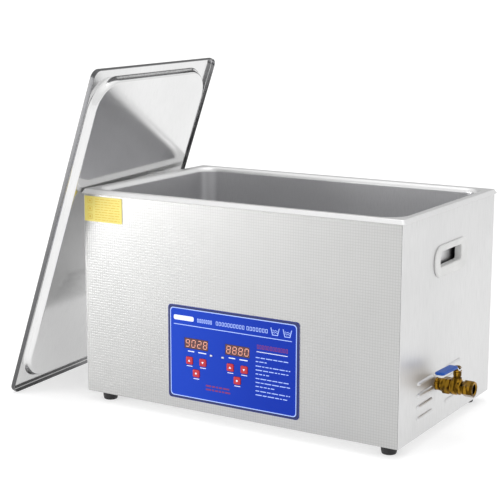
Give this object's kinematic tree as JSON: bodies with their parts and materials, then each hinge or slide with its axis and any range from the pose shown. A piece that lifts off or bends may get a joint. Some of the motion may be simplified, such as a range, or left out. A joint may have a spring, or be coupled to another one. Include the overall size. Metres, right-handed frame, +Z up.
{
  "type": "ultrasonic cleaner",
  "caption": "Bench-top ultrasonic cleaner: steel casing with deep wash tank, control panel with keys and displays, drain valve, and a pressed lid leaning on its end.",
  "frame": {"origin": "on the floor, below the middle of the whole object's box with the lid leaning in place; the casing's own middle is 40.3 mm towards +X and 17.5 mm towards +Y from it", "axes": "+Z up, -Y towards the user on the control side, +X towards the drain valve"},
  "size_m": [0.7246, 0.3702, 0.5185],
  "materials": {
    "grid_steel": "stainless sheet with a fine embossed grid",
    "satin_steel": "plain satin stainless sheet",
    "bright_steel": "smooth, brightly finished stainless steel",
    "blue_print": "blue printed membrane with a darker border",
    "red_key": "red domed key",
    "display": "dark red display window with lit segments",
    "lamp_lens": "small pale lamp lens",
    "grey_plastic": "light grey moulded plastic",
    "black_plastic": "black moulded plastic",
    "rubber": "black moulded rubber",
    "brass": "turned and forged brass",
    "blue_sleeve": "blue dipped vinyl",
    "yellow_label": "yellow sticker with plain bars",
    "circuit_board": "green circuit board with its components",
    "aluminium": "plain machined aluminium",
    "ferrite": "dark ferrite core",
    "heater_mat": "reddish silicone heater mat"
  },
  "bodies": {
    "casing": {"front_panel": "grid_steel", "left_side_panel": "satin_steel", "right_side_panel": "satin_steel", "rear_panel": "satin_steel", "base_plate": "satin_steel", "tank": "bright_steel", "control_overlay": "blue_print", "temperature_display": "display", "timer_display": "display", "control_board": "circuit_board", "heater_lamp": "lamp_lens", "working_lamp": "lamp_lens", "left_hand_trim": "grey_plastic", "right_hand_trim": "grey_plastic", "foot_front_left": "rubber", "foot_front_right": "rubber", "foot_rear_left": "rubber", "foot_rear_right": "rubber", "tank_drain_fitting": "bright_steel", "drain_pipe": "aluminium", "drain_wall_nut": "brass", "valve_body": "brass", "packing_nut": "brass", "caution_label": "yellow_label", "generator_board": "circuit_board", "heatsink": "aluminium", "matching_inductor": "ferrite", "fan_frame": "black_plastic", "fan_guard": "bright_steel", "power_inlet": "black_plastic", "power_switch_frame": "black_plastic", "heater_front": "heater_mat", "heater_rear": "heater_mat", "transducer_01": "aluminium", "transducer_02": "aluminium", "transducer_03": "aluminium", "transducer_04": "aluminium", "transducer_05": "aluminium", "transducer_06": "aluminium", "transducer_07": "aluminium", "transducer_08": "aluminium", "transducer_09": "aluminium", "transducer_10": "aluminium"},
    "lid": {"lid": "bright_steel", "lid_handle": "bright_steel", "handle_screw_lower": "bright_steel", "handle_screw_upper": "bright_steel"},
    "drain_lever": {"valve_lever": "bright_steel", "lever_sleeve": "blue_sleeve", "lever_nut": "brass", "valve_stem": "brass", "valve_ball": "bright_steel"},
    "temperature_up": {"temperature_up_key": "red_key"},
    "temperature_down": {"temperature_down_key": "red_key"},
    "temperature_start": {"temperature_start_key": "red_key"},
    "time_up": {"time_up_key": "red_key"},
    "time_down": {"time_down_key": "red_key"},
    "time_start": {"time_start_key": "red_key"},
    "power_rocker": {"power_switch_rocker": "red_key"},
    "rotor": {"fan_rotor": "black_plastic"}
  },
  "joints": [
    {"name": "lid_lift", "type": "slide", "parent": "casing", "child": "lid", "axis": [0.3272, 0.0009, 0.945], "range_m": [0, 0.36]},
    {"name": "drain_lever_turn", "type": "hinge", "parent": "casing", "child": "drain_lever", "pos_m": [0.3358, -0.01951, 0.0775], "axis": [0, 0, 1], "range_deg": [0, 90]},
    {"name": "temperature_up_press", "type": "slide", "parent": "casing", "child": "temperature_up", "axis": [0, 1, 0], "range_m": [0, 0.0008], "stiffness_N_per_m": 500},
    {"name": "temperature_down_press", "type": "slide", "parent": "casing", "child": "temperature_down", "axis": [0, 1, 0], "range_m": [0, 0.0008], "stiffness_N_per_m": 500},
    {"name": "temperature_start_press", "type": "slide", "parent": "casing", "child": "temperature_start", "axis": [0, 1, 0], "range_m": [0, 0.0008], "stiffness_N_per_m": 500},
    {"name": "time_up_press", "type": "slide", "parent": "casing", "child": "time_up", "axis": [0, 1, 0], "range_m": [0, 0.0008], "stiffness_N_per_m": 500},
    {"name": "time_down_press", "type": "slide", "parent": "casing", "child": "time_down", "axis": [0, 1, 0], "range_m": [0, 0.0008], "stiffness_N_per_m": 500},
    {"name": "time_start_press", "type": "slide", "parent": "casing", "child": "time_start", "axis": [0, 1, 0], "range_m": [0, 0.0008], "stiffness_N_per_m": 500},
    {"name": "power_rocker_tilt", "type": "hinge", "parent": "casing", "child": "power_rocker", "pos_m": [0.1703, 0.17779, 0.06], "axis": [1, 0, 0], "range_deg": [0, 16]},
    {"name": "fan_spin", "type": "hinge", "parent": "casing", "child": "rotor", "pos_m": [-0.0997, 0.16769, 0.072], "axis": [0, 1, 0], "continuous": true}
  ]
}
